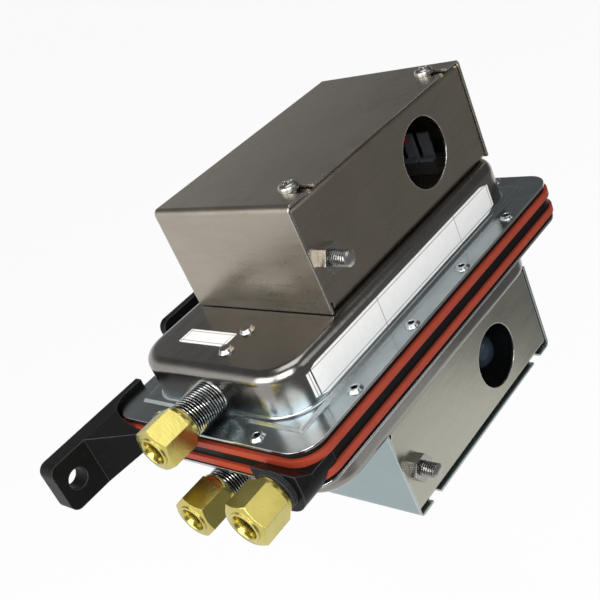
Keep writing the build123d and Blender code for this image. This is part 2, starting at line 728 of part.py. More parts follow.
# Low pressure stem: threaded outside, flanged inside the dome
stem_end = low_nut_front + nut_wall + nut_seat_length
wall_inside = -dome_length / 2 + housing_sheet
with BuildPart() as low_port_stem:
    with BuildSketch(Plane.YZ.offset(stem_end)):
        with Locations((0, low_port_height)):
            Circle(thread_radius)
    extrude(amount=wall_inside - stem_end)
    chamfer(low_port_stem.faces().sort_by(Axis.X)[0].edges(), 0.5)
    with BuildSketch(Plane.YZ.offset(wall_inside)):
        with Locations((0, low_port_height)):
            Circle(low_port_flange)
    extrude(amount=low_port_flange_thick)
    with BuildSketch(Plane.YZ.offset(stem_end)):
        with Locations((0, low_port_height)):
            Circle(tube_radius)
    extrude(amount=6, mode=Mode.SUBTRACT)
    with BuildSketch(Plane.YZ.offset(stem_end)):
        with Locations((0, low_port_height)):
            Circle(tube_radius * 0.7)
    extrude(amount=wall_inside - stem_end + low_port_flange_thick, mode=Mode.SUBTRACT)
finish_pair(low_port_stem.part, "port_stem")


def compression_nut(front, y, z, turn):
    """Hexagon nut with a turned collar at the back, a tube bore in front and a ferrule seat."""
    with BuildPart() as cone:
        with BuildSketch(Plane.YZ.offset(front)):
            with Locations((y, z)):
                Circle(nut_flats * 0.52)
        extrude(amount=nut_length, taper=-20)
    with BuildPart() as nut:
        with BuildSketch(Plane.YZ.offset(front)):
            with Locations(Location((y, z), turn)):
                RegularPolygon(nut_flats / 2, 6, major_radius=False)
        extrude(amount=nut_length - nut_collar)
        with BuildSketch(Plane.YZ.offset(front)):
            with Locations((y, z)):
                Circle(nut_flats / 2 + 0.25)
        extrude(amount=nut_length)
        add(cone.part, mode=Mode.INTERSECT)
        with BuildSketch(Plane.YZ.offset(front)):
            with Locations((y, z)):
                Circle(tube_radius + bore_play)
        extrude(amount=nut_length, mode=Mode.SUBTRACT)
        with BuildSketch(Plane.YZ.offset(front + nut_wall)):
            with Locations((y, z)):
                Circle(nut_seat_radius)
        extrude(amount=nut_length, mode=Mode.SUBTRACT)
        with BuildSketch(Plane.YZ.offset(front + nut_wall + nut_seat_length - ferrule_play)):
            with Locations((y, z)):
                Circle(thread_radius + thread_play)
        extrude(amount=nut_length, mode=Mode.SUBTRACT)
    return nut.part


with BuildPart() as low_nut:
    add(compression_nut(low_nut_front, 0, low_port_height, low_nut_turn))
finish_pair(low_nut.part, "port_nut")

with BuildPart() as high_nut:
    add(compression_nut(high_nut_front, high_port_y, 0, high_nut_turn))
finish(high_nut.part, "high_port_nut")


def ferrule_at(front, y, z):
    """Plated ring on the end of the stem, tapered towards the nut."""
    with BuildPart() as ferrule:
        with BuildSketch(Plane.YZ.offset(front + nut_wall + nut_seat_length)):
            with Locations((y, z)):
                Circle(nut_seat_radius - ferrule_play)
        extrude(amount=-ferrule_length)
        chamfer(ferrule.faces().sort_by(Axis.X)[0].edges(), 0.6)
        with BuildSketch(Plane.YZ.offset(front + nut_wall + nut_seat_length)):
            with Locations((y, z)):
                Circle(tube_radius)
        extrude(amount=-ferrule_length, mode=Mode.SUBTRACT)
    return ferrule.part


with BuildPart() as low_ferrule:
    add(ferrule_at(low_nut_front, 0, low_port_height))
finish_pair(low_ferrule.part, "port_ferrule")

with BuildPart() as high_ferrule:
    add(ferrule_at(high_nut_front, high_port_y, 0))
finish(high_ferrule.part, "high_port_ferrule")
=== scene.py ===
# %% [markdown]
# # A dual differential air pressure switch
# Two pressure switches sit back to back on one black moulded body. Each has a drawn steel
# dome and a folded box for its wiring, and brass fittings take the air tubes at one end.
# The solids come ready made from the CAD model, in metres. This lesson gives them finishes,
# and adds what a solid model leaves out: screw threads, turned ends, labels and wires.

# %% Load the fixed frame
import math

import bmesh
import bpy
from mathutils import Matrix, Vector


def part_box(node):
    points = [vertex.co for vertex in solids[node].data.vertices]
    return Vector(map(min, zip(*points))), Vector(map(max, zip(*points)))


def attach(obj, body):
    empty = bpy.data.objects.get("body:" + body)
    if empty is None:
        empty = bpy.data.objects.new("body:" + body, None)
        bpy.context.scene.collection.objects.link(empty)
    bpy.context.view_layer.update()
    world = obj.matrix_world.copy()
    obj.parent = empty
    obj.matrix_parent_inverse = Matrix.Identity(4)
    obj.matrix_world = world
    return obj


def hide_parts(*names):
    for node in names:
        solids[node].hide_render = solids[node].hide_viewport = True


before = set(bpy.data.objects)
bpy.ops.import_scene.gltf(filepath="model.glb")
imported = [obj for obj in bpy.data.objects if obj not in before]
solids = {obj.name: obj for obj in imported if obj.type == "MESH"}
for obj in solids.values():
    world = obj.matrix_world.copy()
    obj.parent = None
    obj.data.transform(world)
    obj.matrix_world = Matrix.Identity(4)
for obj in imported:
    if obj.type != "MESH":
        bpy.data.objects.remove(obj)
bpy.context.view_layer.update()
MM = 0.001
WALL = 45.2
SIDES = (("upper", 1), ("lower", -1))


def spot(x, y, z):
    """A point given in millimetres from the middle of the diaphragm stack."""
    return Vector((x * MM, (y - WALL) * MM, z * MM))


# %% [markdown]
# ## The camera
# The photograph looks down on the end with the fittings, and the camera is rolled, so the
# stack leans to the left. A camera is placed by its three axes. Building the matrix from
# them keeps the roll, which a Track To constraint would lose.

# %% Place the camera
right = Vector((0.5868, -0.7194, -0.3716))
up = Vector((0.5744, 0.0465, 0.8172))
back = right.cross(up)
place = spot(-182.77, -201.12, 142.59)
focal_pixels = 935.8
picture_width = 600
camera_data = bpy.data.cameras.new("camera")
camera_data.sensor_width = 36
camera_data.lens = camera_data.sensor_width * focal_pixels / picture_width
camera_data.clip_start = 0.01
camera = bpy.data.objects.new("camera", camera_data)
bpy.context.scene.collection.objects.link(camera)
camera.matrix_world = Matrix((
    (right.x, up.x, back.x, place.x),
    (right.y, up.y, back.y, place.y),
    (right.z, up.z, back.z, place.z),
    (0, 0, 0, 1)))
bpy.context.scene.camera = camera
print("lens", round(camera_data.lens, 1), "mm")

# %% [markdown]
# ## Shader maths as plain expressions
# A mask such as "1 - scratches * 0.3" takes two Math nodes. They could be wired by hand,
# but a small class that wraps a socket and answers to +, - and * reads like the sum itself.
# Every other node comes from one method, so each finish below stays short.

# %% A socket that understands sums
class Signal:
    """One output of a node, which adds Math nodes when it meets an operator."""

    def __init__(self, owner, socket):
        self.owner = owner
        self.socket = socket

    def maths(self, operation, first, second=0.0, clamp=False):
        settings = {"operation": operation, "use_clamp": clamp}
        return self.owner.node("ShaderNodeMath", settings, {0: first, 1: second})

    def __add__(self, other):
        return self.maths("ADD", self, other)

    __radd__ = __add__

    def __sub__(self, other):
        return self.maths("SUBTRACT", self, other)

    def __rsub__(self, other):
        return self.maths("SUBTRACT", other, self)

    def __mul__(self, other):
        return self.maths("MULTIPLY", self, other)

    __rmul__ = __mul__

    def __abs__(self):
        return self.maths("ABSOLUTE", self)

    def limited(self):
        """The same number, kept between 0 and 1."""
        return self.maths("ADD", self, 0.0, clamp=True)

    def near(self, value, reach):
        """1 where this number lies within reach of a value, and 0 elsewhere."""
        settings = {"operation": "COMPARE"}
        return self.owner.node("ShaderNodeMath", settings, {0: self, 1: value, 2: reach})


print("sums ready")


# %% One method that adds any other node
class Nodes:
    """A node tree, and the one method that adds nodes to it."""

    def __init__(self, tree):
        self.tree = tree

    def node(self, kind, settings=None, links=None, output=0):
        """Add a node: its settings first, then the values or signals of its sockets."""
        made = self.tree.nodes.new(kind)
        for key, value in (settings or {}).items():
            if key == "stops":
                ramp = made.color_ramp.elements
                while len(ramp) < len(value):
                    ramp.new(0.5)
                for stop, (position, level) in zip(ramp, value):
                    stop.position = position
                    stop.color = (level, level, level, 1)
            else:
                setattr(made, key, value)
        for key, value in (links or {}).items():
            if isinstance(value, Signal):
                self.tree.links.new(value.socket, made.inputs[key])
            else:
                made.inputs[key].default_value = value
        return Signal(self, made.outputs[output])


print("nodes ready")


# %% A finish is one material with a Principled shader
EDGE_CONTRAST, GROOVE_CONTRAST = 6, 1.7


class Finish(Nodes):
    """A material, the constants of its shader, and the nodes that vary over the surface."""

    def __init__(self, name, **constants):
        self.material = bpy.data.materials.new(name)
        self.material.use_nodes = True
        super().__init__(self.material.node_tree)
        self.shader = self.tree.nodes["Principled BSDF"]
        for socket, value in constants.items():
            self.shader.inputs[socket.replace("_", " ")].default_value = value

    def where(self, stretch=(1, 1, 1)):
        """Place on the object, stretched so that grain can run along one direction."""
        plain = self.node("ShaderNodeTexCoord", output="Object")
        return self.node("ShaderNodeVectorMath", {"operation": "MULTIPLY"}, {0: plain, 1: stretch})

    def coordinate(self, axis):
        """Place on the object along X (0), Y (1) or Z (2), as one number."""
        plain = self.node("ShaderNodeTexCoord", output="Object")
        return self.node("ShaderNodeSeparateXYZ", None, {0: plain}, axis)

    def noise(self, scale, detail, stretch=(1, 1, 1)):
        return self.node("ShaderNodeTexNoise", None, {
            "Vector": self.where(stretch), "Scale": scale, "Detail": detail, "Roughness": 0.55})

    def ramp(self, signal, *stops):
        return self.node("ShaderNodeValToRGB", {"stops": stops}, {0: signal})

    def fading(self, signal, start, end):
        """1 past the end, 0 before the start, and smooth between."""
        return self.node("ShaderNodeMapRange", {"interpolation_type": "SMOOTHSTEP"},
                         {0: signal, 1: start, 2: end, 3: 0.0, 4: 1.0})

    def blend(self, mask, first, second):
        """A colour between two others."""
        colours = [c if isinstance(c, Signal) else (*c, 1) for c in (first, second)]
        links = {0: mask, 6: colours[0], 7: colours[1]}
        return self.node("ShaderNodeMix", {"data_type": "RGBA"}, links, 2)

    def feed(self, socket, signal):
        self.tree.links.new(signal.socket, self.shader.inputs[socket])

    def relief(self, height, depth, edge=0.0):
        """Feed a height to Normal through Bump, with sharp edges rounded by a small radius."""
        links = {"Height": height, "Distance": depth, "Strength": 1.0}
        if edge:
            links["Normal"] = self.node("ShaderNodeBevel", {"samples": 4}, {"Radius": edge})
        self.feed("Normal", self.node("ShaderNodeBump", None, links))

    def edge_mask(self, radius):
        """1 along edges and 0 on flats: how far a rounded normal turns from the real one."""
        rounded = self.node("ShaderNodeBevel", {"samples": 4}, {"Radius": radius})
        plain = self.node("ShaderNodeNewGeometry", output="Normal")
        settings = {"operation": "DOT_PRODUCT"}
        match = self.node("ShaderNodeVectorMath", settings, {0: rounded, 1: plain}, 1)
        return ((1 - match) * EDGE_CONTRAST).limited()

    def grooves(self, depth):
        """0 on open crests, rising to 1 down in a groove about as deep as the depth."""
        settings = {"samples": 6, "only_local": True}
        open_sky = self.node("ShaderNodeAmbientOcclusion", settings, {"Distance": depth}, 1)
        return ((1 - open_sky) * GROOVE_CONTRAST).limited()


print("finishes can be mixed")

# %% [markdown]
# ## Zinc-plated sheet
# The domes are drawn and the boxes folded from zinc-plated sheet. The real sheet is not one
# grey: it has soft rolling streaks, a blotchy warm cast from the plating bath and fine rubs,
# and a painted highlight makes it paler along the folds. These could be painted by hand, but
# noise fits pieces of any size: a stretched noise gives the streaks, a large soft one the
# blotches, and the difference between a rounded and a real normal finds the edges.

# %% Make the sheet finishes
BRIGHT_RUB_AND_EDGE_HIGHLIGHT = (0.80, 0.79, 0.76)
FLANGE_HEIGHT, STEP_HEIGHT = 7.5 * MM, 12.5 * MM


def sheet_finish(name, light, dark, stretch, gloss, cool=None):
    """Zinc-plated sheet; cool is a bluish grey for the flat flange, below the dome."""
    made = Finish(name, Metallic=1.0)
    streaks = made.noise(60, 4, stretch)
    blotches = made.noise(55, 3)
    rubs = made.ramp(made.noise(900, 2, stretch), (0.60, 0.0), (0.74, 1.0))
    edge_highlight = made.edge_mask(0.8 * MM)
    tone = made.blend((blotches * 0.7 + streaks * 0.5 - 0.1).limited(), dark, light)
    if cool:
        raised = made.node("ShaderNodeMapRange", None,
                           {0: abs(made.coordinate(2)), 1: FLANGE_HEIGHT, 2: STEP_HEIGHT})
        tone = made.blend(raised, made.blend(blotches, cool, dark), tone)
    # Painted highlight along the edges, mixed with the real fine rubs, towards one pale grey.
    made.feed("Base Color", made.blend((edge_highlight * 0.8 + rubs * 0.12).limited(), tone, BRIGHT_RUB_AND_EDGE_HIGHLIGHT))
    made.feed("Roughness", (gloss + streaks * 0.14 + blotches * 0.10 - edge_highlight * 0.08).limited())
    made.relief(streaks * 0.4 + made.noise(260, 2) * 0.6, 0.06 * MM, 0.4 * MM)
    return made.material


box_sheet = sheet_finish("zinc_plated_box_sheet", (0.41, 0.37, 0.31), (0.31, 0.275, 0.225),
                         (1, 1, 9), 0.17)
dome_sheet = sheet_finish("zinc_plated_dome_sheet", (0.31, 0.295, 0.275), (0.22, 0.21, 0.195),
                          (1, 6, 6), 0.10, cool=(0.52, 0.62, 0.67))
# Painted reflection: a lighter, greener copy of the box sheet for the lower base, and a bluer one for its
# cover.
lower_box_sheet_painted_lighter = sheet_finish("zinc_plated_lower_box_sheet", (0.48, 0.475, 0.40),
                               (0.38, 0.38, 0.32), (1, 1, 9), 0.17)
lower_cover_sheet_painted_bluish = sheet_finish("zinc_plated_lower_cover_sheet", (0.36, 0.435, 0.45),
                                 (0.28, 0.345, 0.36), (1, 1, 9), 0.17)
switch_sheet = sheet_finish("zinc_plated_switch_bracket", (0.50, 0.48, 0.45), (0.40, 0.38, 0.34),
                            (1, 8, 8), 0.30)
print("sheet finishes ready")

# %% [markdown]
# ## Turned and plated metal
# Nuts and screws are turned from bar, so their tool marks run in rings, and their sharp
# edges are made lighter with the edge mask. Brass also dulls to brown where fingers and cutting
# oil have been. A fine noise squeezed along X gives the marks, since the fittings lie along X.
# Threads get painted shade down in their grooves, and an Ambient Occlusion node finds those
# on any thread, with no mask to draw.

# %% Make the turned finishes
GROOVE_PAINTED_SHADE = (0.05, 0.05, 0.05)


def turned_finish(name, light, dark, gloss, threaded=False):
    """Turned metal; a threaded piece keeps its sharp crests and gets painted shade down in its grooves."""
    made = Finish(name, Metallic=1.0)
    marks = made.noise(700, 2, (5, 1, 1))
    stains = made.ramp(made.noise(70, 3), (0.40, 0.0), (0.75, 0.8))
    tone = made.blend(stains, light, dark)
    tone = made.blend(made.edge_mask(0.4 * MM) * 0.5, tone, light)
    if threaded:
        # Painted shade: the thread grooves are painted dark.
        tone = made.blend(made.grooves(0.8 * MM), tone, GROOVE_PAINTED_SHADE)
    made.feed("Base Color", tone)
    made.feed("Roughness", (gloss + marks * 0.12 + stains * 0.10).limited())
    made.relief(marks, 0.04 * MM, 0.0 if threaded else 0.25 * MM)
    return made.material


brass = turned_finish("turned_brass", (0.58, 0.50, 0.145), (0.38, 0.33, 0.085), 0.16)
zinc_screw = turned_finish("zinc_plated_screw", (0.38, 0.37, 0.35), (0.22, 0.21, 0.20), 0.20)
threaded_screw = turned_finish("zinc_plated_thread", (0.46, 0.45, 0.43), (0.28, 0.27, 0.26), 0.20,
                               threaded=True)
fitting_steel = turned_finish("plated_fitting_thread", (0.66, 0.68, 0.68), (0.46, 0.48, 0.48), 0.18,
                              threaded=True)
spring_steel = turned_finish("drawn_spring_wire", (0.62, 0.62, 0.63), (0.45, 0.45, 0.45), 0.25)
tinned = turned_finish("tinned_terminal", (0.82, 0.81, 0.77), (0.62, 0.61, 0.56), 0.25)
aluminium = turned_finish("pressed_aluminium", (0.80, 0.80, 0.81), (0.66, 0.66, 0.67), 0.28)
print("turned finishes ready")

# %% [markdown]
# ## Rubber and plastic
# The two sheets of red silicone show as thin lines round the edge, between black rubber
# rings. The bracket body is moulded nylon with a fine texture, and a pale highlight is
# painted along its edges. Real black parts are never black all over, so a little dust and that
# painted edge highlight keep their shape readable. A brighter lamp would do that too, but it
# would wash out the metal.

# %% Make the soft and moulded finishes
EDGE_HIGHLIGHT_GREY = (0.14, 0.15, 0.16)


def moulded_finish(name, light, dark, gloss, grain, depth, edge_highlight_share=0.0, shine=0.22):
    """Rubber or plastic; the edge share sets how strong a highlight is painted on its edges, and shine its
    own gloss.
    """
    made = Finish(name, Metallic=0.0, Specular_IOR_Level=shine)
    patches = made.noise(90, 3)
    pits = made.noise(grain, 2)
    dust = made.ramp(made.noise(420, 5), (0.58, 0.0), (0.80, 1.0))
    tone = made.blend(patches, dark, light)
    if edge_highlight_share:
        # Painted highlight: the edges are painted a paler grey.
        tone = made.blend(made.edge_mask(0.5 * MM) * edge_highlight_share, tone, EDGE_HIGHLIGHT_GREY)
    dusty = tuple(min(1.0, level * 1.4 + 0.01) for level in light)
    made.feed("Base Color", made.blend(dust * 0.35, tone, dusty))
    made.feed("Roughness", (gloss + patches * 0.10 + dust * 0.15).limited())
    made.relief(pits, depth, 0.4 * MM)
    return made.material


black_nylon = moulded_finish("black_moulded_nylon", (0.008, 0.008, 0.008), (0.004, 0.004, 0.004),
                             0.30, 1400, 0.05 * MM, edge_highlight_share=0.5, shine=0.07)
black_rubber = moulded_finish("black_rubber_ring", (0.010, 0.010, 0.010), (0.006, 0.006, 0.006),
                              0.55, 900, 0.06 * MM, shine=0.12)
red_silicone = moulded_finish("red_silicone", (0.36, 0.050, 0.024), (0.28, 0.036, 0.017),
                              0.42, 700, 0.06 * MM)
white_nylon = moulded_finish("white_nylon", (0.78, 0.77, 0.72), (0.70, 0.69, 0.63),
                             0.40, 900, 0.04 * MM)
phenolic = moulded_finish("black_phenolic", (0.030, 0.026, 0.024), (0.016, 0.014, 0.013),
                          0.35, 800, 0.04 * MM)
red_button = moulded_finish("red_switch_button", (0.50, 0.05, 0.03), (0.40, 0.04, 0.025),
                            0.35, 800, 0.03 * MM)
print("moulded finishes ready")

# %% [markdown]
# ## Give every solid its finish
# The names of the solids say what they are, so one table covers both switches. Picking each
# solid by hand would work too, but a table is easier to check and to change. The lower box
# has two finishes of its own: painted reflection makes its base lighter and greener, and its
# cover bluer.

# %% Assign the finishes
finish_of = {
    "housing": dome_sheet, "enclosure_base": box_sheet, "enclosure_cover": box_sheet,
    "lower_enclosure_base": lower_box_sheet_painted_lighter, "lower_enclosure_cover": lower_cover_sheet_painted_bluish,
    "switch_bracket": switch_sheet, "diaphragm": red_silicone, "sealing_ring": black_rubber,
    "diaphragm_plate": aluminium, "calibration_spring": spring_steel, "spring_adjuster": brass,
    "adjuster_bushing": brass, "pin_guide": white_nylon, "switch_body": phenolic,
    "switch_plunger": red_button, "switch_terminals": tinned, "switch_screws": zinc_screw,
    "cover_screws": zinc_screw, "ground_screw": zinc_screw, "ground_nut": zinc_screw,
    "box_rivets": zinc_screw, "dome_rivets": dome_sheet, "port_stem": fitting_steel,
    "port_nut": brass, "port_ferrule": tinned, "flange_eyelets": dome_sheet,
    "high_port_ferrule": tinned, "high_port_nut": brass, "centre_body": black_nylon}
for name, solid in solids.items():
    key = name.removeprefix("upper_").removeprefix("lower_")
    solid.data.materials.clear()
    solid.data.materials.append(finish_of.get(name) or finish_of[key])
print("finished solids:", len(solids))


# %% [markdown]
# ## Screw threads
# The CAD model keeps threads as plain cylinders, which is right for a shared part but looks
# bare. A thread is one long groove, so its surface is a tube of rings whose radius follows
# a zigzag that moves on by one pitch each turn. Building that tube directly gives a clean
# groove with few faces, where a Screw modifier would leave open ends.

# %% Helpers for round pieces
def mesh_piece(name, points, faces, material, body, slot, smooth=True):
    """Make an object from points and faces, and let it ride on a body."""
    data = bpy.data.meshes.new(name)
    data.from_pydata([tuple(p) for p in points], [], faces)
    work = bmesh.new()
    work.from_mesh(data)
    bmesh.ops.recalc_face_normals(work, faces=work.faces)
    work.to_mesh(data)
    work.free()
    if smooth:
        data.polygons.foreach_set("use_smooth", [True] * len(data.polygons))
        data.set_sharp_from_angle(angle=math.radians(35))
    data.materials.append(material)
    piece = bpy.data.objects.new(name, data)
    bpy.context.scene.collection.objects.link(piece)
    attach(piece, body)
    return piece


def fixed(value):
    """A number as a function of the angle."""
    return value if callable(value) else (lambda angle: value)


def ring_points(centre, axis, across, along, radius, sides):
    """Points of one ring round an axis; its distance and radius may change with the angle."""
    other = axis.cross(across)
    along, radius = fixed(along), fixed(radius)
    for step in range(sides):
        angle = 2 * math.pi * step / sides
        outwards = across * math.cos(angle) + other * math.sin(angle)
        yield centre + (axis * along(angle) + outwards * radius(angle)) * MM


def turned_shell(centre, axis, rings, sides, hollow=True, across=None):
    """Join rings, each a (distance, radius) pair in millimetres, into a closed shell.

    A hollow shell joins its last ring to its first, and a full one is closed by two flat ends.
    """
    across = across or axis.orthogonal().normalized()
    points = []
    for along, radius in rings:
        points += ring_points(centre, axis, across, along, radius, sides)
    faces = []
    for ring in range(len(rings) if hollow else len(rings) - 1):
        low = ring * sides
        high = ((ring + 1) % len(rings)) * sides
        for step in range(sides):
            after = (step + 1) % sides
            faces.append((low + step, low + after, high + after, high + step))
    if not hollow:
        faces.append(tuple(range(sides)))
        faces.append(tuple(range(len(points) - sides, len(points))))
    return points, faces


def joined(shells):
    """Several shells as one list of points and one of faces."""
    points, faces = [], []
    for more_points, more_faces in shells:
        start = len(points)
        points += more_points
        faces += [tuple(start + i for i in face) for face in more_faces]
    return points, faces


TOOTH_TOP, TOOTH_SLOPE, RUN_OUT_SHARE = 1.35, 3.4, 0.6


def thread_rings(start, end, crest, root, pitch, steps=6):
    """Rings of a thread between two distances, with a flattened zigzag for its section."""
    rings = []
    count = int((end - start) / pitch * steps)
    run_out = RUN_OUT_SHARE * pitch
    for index in range(count + 1):
        along = start + (end - start) * index / count
        fade = min(1.0, (along - start) / run_out, (end - along) / run_out)

        def radius(angle, along=along, fade=fade):
            phase = (along / pitch - angle / (2 * math.pi)) % 1.0
            tooth = min(1.0, max(0.0, TOOTH_TOP - TOOTH_SLOPE * abs(phase - 0.5)))
            return crest - (crest - root) * (1 - tooth) * fade
        rings.append((along, radius))
    return rings


def middle_of(name):
    """The middle of a solid's box."""
    low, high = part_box(name)
    return (Vector(low) + Vector(high)) / 2


ALONG_X = Vector((1, 0, 0))
print("round pieces can be turned")


# %% Threaded stems of the low pressure ports
THREAD_CREST, THREAD_ROOT, STEM_PITCH = 5.5, 4.66, 0.88
THREAD_START, THREAD_STOP, PLAIN_END = 0.35, 0.9, 0.5
STEM_LIP, SEAT_STEP, SEAT_MOUTH = 1.4, 0.3, 4.0
TUBE_RADIUS, TUBE_DEPTH, AIR_BORE = 3.2, 6.0, 2.24


def stem_piece(name, side):
    """The stem from its bore, over the thread, to the lip inside the dome."""
    low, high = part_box(f"{side}_port_stem")
    start = middle_of(f"{side}_port_stem")
    start.x = low[0]
    lip = (high[2] - low[2]) / 2 / MM
    whole = (high[0] - low[0]) / MM
    end = whole - STEM_LIP
    rings = [(SEAT_STEP, SEAT_MOUTH), (0.0, THREAD_ROOT)]
    rings += thread_rings(THREAD_START, end - THREAD_STOP, THREAD_CREST, THREAD_ROOT, STEM_PITCH)
    rings += [(end - PLAIN_END, THREAD_CREST), (end, THREAD_CREST), (end, lip), (whole, lip),
              (whole, AIR_BORE), (TUBE_DEPTH, AIR_BORE), (TUBE_DEPTH, TUBE_RADIUS),
              (SEAT_STEP, TUBE_RADIUS)]
    points, faces = turned_shell(start, ALONG_X, rings, 48)
    piece = mesh_piece(name, points, faces, fitting_steel, "switch", "zinc_screw")
    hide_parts(f"{side}_port_stem")
    return piece


for side, sign in SIDES:
    stem = stem_piece(f"{side}_threaded_stem", side)
    print(stem.name, "faces", len(stem.data.polygons))


# %% [markdown]
# The third nut sits on a black moulded thread, which belongs to the body. Only a short
# stretch of it shows between the nut and the boss, so a ring with a fine thread fills that
# gap, and the boss stays as the CAD model has it.

# %% The black thread behind the third nut
BOSS_FRONT, NUT_GAP = -77.0, 0.05
RING_CREST, RING_ROOT, RING_PITCH, RING_INSIDE = 6.1, 5.55, 0.62, 5.3
nut_low, nut_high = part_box("high_port_nut")
ring_length = BOSS_FRONT - nut_high[0] / MM - 2 * NUT_GAP
ring_start = middle_of("high_port_nut")
ring_start.x = nut_high[0] + NUT_GAP * MM
rings = [(0.0, RING_INSIDE)]
rings += thread_rings(0.02, ring_length - 0.02, RING_CREST, RING_ROOT, RING_PITCH, 8)
rings += [(ring_length, RING_INSIDE)]
points, faces = turned_shell(ring_start, ALONG_X, rings, 48)
high_thread = mesh_piece("high_port_thread", points, faces, black_nylon, "switch", "black_nylon")
print(high_thread.name, "length", round(ring_length, 2), "mm")


# %% [markdown]
# The ground screws have their heads inside the boxes and their threads outside. Head and
# thread are one turned section, so one shell makes the whole screw.

# %% Ground screws with their threads
HEAD_HEIGHT, HEAD_RADIUS = 2.2, 4.8
GROUND_CREST, GROUND_ROOT, GROUND_PITCH, GROUND_TIP = 2.4, 1.9, 0.8, 1.6
GROUND_HEAD = ((-HEAD_HEIGHT, 1.0), (-2.15, 2.0), (-1.8, 3.6), (-1.1, 4.5), (-0.2, HEAD_RADIUS),
               (0.0, HEAD_RADIUS), (0.0, GROUND_CREST))


def ground_screw_piece(name, side):
    """Rounded head inside the box, threaded end outside."""
    low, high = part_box(f"{side}_ground_screw")
    whole = (high[1] - low[1]) / MM
    under_head = middle_of(f"{side}_ground_screw")
    under_head.y = high[1] - HEAD_HEIGHT * MM
    tip = whole - HEAD_HEIGHT
    rings = list(GROUND_HEAD)
    rings += thread_rings(0.1, tip - 0.5, GROUND_CREST, GROUND_ROOT, GROUND_PITCH)
    rings += [(tip, GROUND_TIP)]
    points, faces = turned_shell(under_head, Vector((0, -1, 0)), rings, 32, hollow=False)
    piece = mesh_piece(name, points, faces, threaded_screw, "switch", "zinc_screw")
    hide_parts(f"{side}_ground_screw")
    return piece


for side, sign in SIDES:
    screw = ground_screw_piece(f"{side}_threaded_ground_screw", side)
    print(screw.name, "faces", len(screw.data.polygons))


# %% [markdown]
# ## Compression nuts
# A real nut is a hexagon bar turned at both ends, so a cone cuts its corners in front and
# behind, a round collar is left at the back, and a thin rim stands round the mouth. One
# shell does it all: the radius follows the hexagon, and the cones move the end rings along.

# %% Hexagon nuts with turned ends
NUT_APOTHEM, NUT_TURNED = 6.35, 6.2
COLLAR_LENGTH, COLLAR_RADIUS = 1.7, 6.0
RIM_HEIGHT, FRONT_SLOPE, BACK_SLOPE = 0.5, 0.62, 0.5
TUBE_MOUTH, SEAT_DEPTH, SEAT_RADIUS, SCREW_DEPTH, SCREW_RADIUS = 3.25, 2.6, 4.5, 6.7, 5.56


def corner_angle(name):
    """Where the outermost corner of a nut lies, counted from +Y towards +Z."""
    centre = middle_of(name)
    offsets = [(v.co.y - centre.y, v.co.z - centre.z) for v in solids[name].data.vertices]
    reach, y, z = max((math.hypot(y, z), y, z) for y, z in offsets)
    print(name, "corner", round(reach / MM, 2), "mm from the middle")
    return math.atan2(z, y)


def hexagon(angle):
    """Radius of the hexagon, with a corner at angle 0."""
    from_flat = angle % (math.pi / 3) - math.pi / 6
    return NUT_APOTHEM / math.cos(from_flat)


def nut_piece(name, node):
    """A nut from its rim, over the hexagon and the collar, and back through its seat."""
    low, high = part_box(node)
    front = middle_of(node)
    front.x = low[0]
    length = (high[0] - low[0]) / MM
    shoulder = length - COLLAR_LENGTH

    def front_cone(angle):
        return RIM_HEIGHT + (hexagon(angle) - NUT_TURNED) * FRONT_SLOPE

    def back_cone(angle):
        return shoulder - (hexagon(angle) - NUT_TURNED) * BACK_SLOPE

    rim = [(0.0, 3.95), (0.0, 4.5), (0.12, 4.7), (RIM_HEIGHT, 4.75), (RIM_HEIGHT, NUT_TURNED)]
    flats = [(front_cone, hexagon), (back_cone, hexagon), (shoulder, NUT_TURNED)]
    collar = [(shoulder, COLLAR_RADIUS), (length - 0.3, COLLAR_RADIUS), (length, 5.8)]
    bore = [(length, SCREW_RADIUS), (SCREW_DEPTH, SCREW_RADIUS), (SCREW_DEPTH, SEAT_RADIUS),
            (SEAT_DEPTH, SEAT_RADIUS), (SEAT_DEPTH, TUBE_MOUTH), (0.9, 3.3)]
    turn = corner_angle(node)
    corner = Vector((0, math.cos(turn), math.sin(turn)))
    points, faces = turned_shell(front, ALONG_X, rim + flats + collar + bore, 72, across=corner)
    piece = mesh_piece(name, points, faces, brass, node, "brass")
    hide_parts(node)
    return piece


for node in ("upper_port_nut", "lower_port_nut", "high_port_nut"):
    nut = nut_piece(f"{node}_hexagon", node)
    print(nut.name, "faces", len(nut.data.polygons))


# %% [markdown]
# ## Screws that hold the covers
# The photograph shows small pan heads with a cross. The cross could be cut with a Boolean,
# but each cut leaves uneven faces on a small round head. Here the rings of the head just
# sink where an arm of the cross runs over them, so the head stays one clean shell.

# %% Pan heads with a cross
PAN_HEAD = ((0.0, 1.9), (0.0, 3.0), (1.0, 3.0), (1.6, 2.75), (1.95, 2.3))
CROWN_HEIGHT, CROWN_RADII = 2.1, (1.95, 1.82, 1.6, 1.3, 1.0, 0.7, 0.4, 0.2)
CROSS_TURN, CROSS_DEPTH, CROSS_REACH, CROSS_HALF = 0.35, 1.1, 1.85, 0.42
SHANK_RADIUS, SHANK_TIP = 1.9, 1.5
WASHER_RADIUS = 4.7


def crown(radius):
    """Height of the head's top at one radius, which drops inside the cross."""
    def along(angle):
        arm = (angle - CROSS_TURN) % (math.pi / 2)
        aside = radius * abs(math.sin(min(arm, math.pi / 2 - arm)))
        in_cross = aside < CROSS_HALF and radius < CROSS_REACH
        return CROWN_HEIGHT - (CROSS_DEPTH if in_cross else 0.0)
    return along


def crossed_head(centre, sign, shank_length):
    """A pan head with its shank; sign is +1 where the head points up."""
    rings = [(-shank_length, SHANK_TIP), (0.4 - shank_length, SHANK_RADIUS), *PAN_HEAD]
    rings += [(crown(radius), radius) for radius in CROWN_RADII]
    return turned_shell(centre, Vector((0, 0, sign)), rings, 64, hollow=False)


